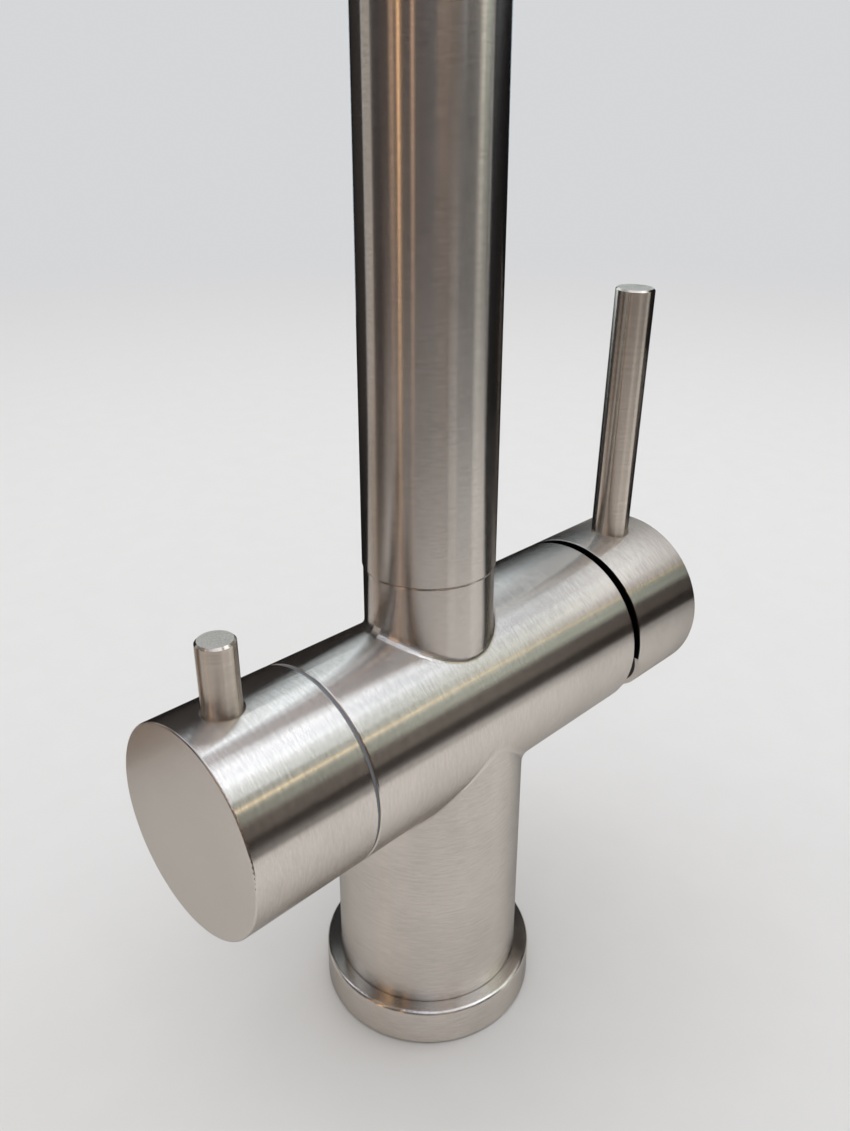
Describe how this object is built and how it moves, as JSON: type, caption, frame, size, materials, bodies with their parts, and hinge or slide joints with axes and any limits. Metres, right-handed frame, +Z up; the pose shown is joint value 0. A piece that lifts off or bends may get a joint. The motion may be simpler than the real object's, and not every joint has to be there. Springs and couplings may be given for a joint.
{
  "type": "three way filtered water tap",
  "caption": "Brushed steel deck-mounted kitchen mixer tap: flanged column, cross barrel with mixer knob and filter knob at its ends, tall swivelling arched spout.",
  "frame": {"origin": "where the column's axis meets the worktop", "axes": "+Z up along the column's axis, +X along the barrel towards the mixer knob, -Y towards the user"},
  "size_m": [0.1559, 0.2136, 0.4628],
  "materials": {
    "brushed_steel": "fine brushing round each turned part",
    "black_rubber": "matt",
    "brass": "turned",
    "machined_steel": "machined",
    "white_plastic": "moulded",
    "ceramic": "polished ceramic",
    "black_plastic": "matt",
    "grey_washer": "matt blue-grey"
  },
  "bodies": {
    "tap_body": {"body": "brushed_steel", "base_flange": "brushed_steel", "base_gasket": "black_rubber", "mounting_shank": "brass", "clamp_rubber": "black_rubber", "clamp_ring": "machined_steel", "fixing_nut": "brass", "cartridge_housing": "white_plastic", "cartridge_seal": "black_rubber", "cartridge_nut": "brass", "cover_ring": "black_plastic", "valve_housing": "brass", "valve_seat_seal": "black_rubber", "fixed_disc": "ceramic", "knob_washer": "grey_washer", "inner_tube_seal": "black_rubber", "spout_lock_screw": "machined_steel"},
    "mixer_core": {"cartridge_rotor": "white_plastic", "stem_pin": "machined_steel"},
    "mixer_handle": {"cartridge_stem": "machined_steel", "mixer_knob": "brushed_steel", "mixer_lever": "brushed_steel", "mixer_grub_screw": "machined_steel"},
    "filter_handle": {"turning_disc": "ceramic", "valve_spindle": "brass", "filter_knob": "brushed_steel", "filter_lever": "brushed_steel", "filter_grub_screw": "machined_steel"},
    "spout": {"spout_nipple": "brass", "nipple_o_rings": "black_rubber", "nipple_slide_rings": "white_plastic", "spout_tube": "brushed_steel", "inner_tube": "white_plastic", "spout_end_bush": "brass", "aerator_washer": "black_rubber", "aerator_housing": "machined_steel", "aerator_insert": "white_plastic", "filter_nozzle": "machined_steel"}
  },
  "joints": [
    {"name": "mixer_temperature", "type": "hinge", "parent": "tap_body", "child": "mixer_core", "pos_m": [0.05, 0, 0.0865], "axis": [1, 0, 0], "range_deg": [-50, 50]},
    {"name": "mixer_flow", "type": "hinge", "parent": "mixer_core", "child": "mixer_handle", "pos_m": [0.05, 0, 0.0865], "axis": [0, 0.9995, 0.0314], "range_deg": [0, 24]},
    {"name": "filter_turn", "type": "hinge", "parent": "tap_body", "child": "filter_handle", "pos_m": [-0.05, 0, 0.0865], "axis": [1, 0, 0], "range_deg": [0, 90]},
    {"name": "spout_swivel", "type": "hinge", "parent": "tap_body", "child": "spout", "pos_m": [0, 0, 0.1246], "axis": [0, 0, 1], "continuous": true}
  ]
}
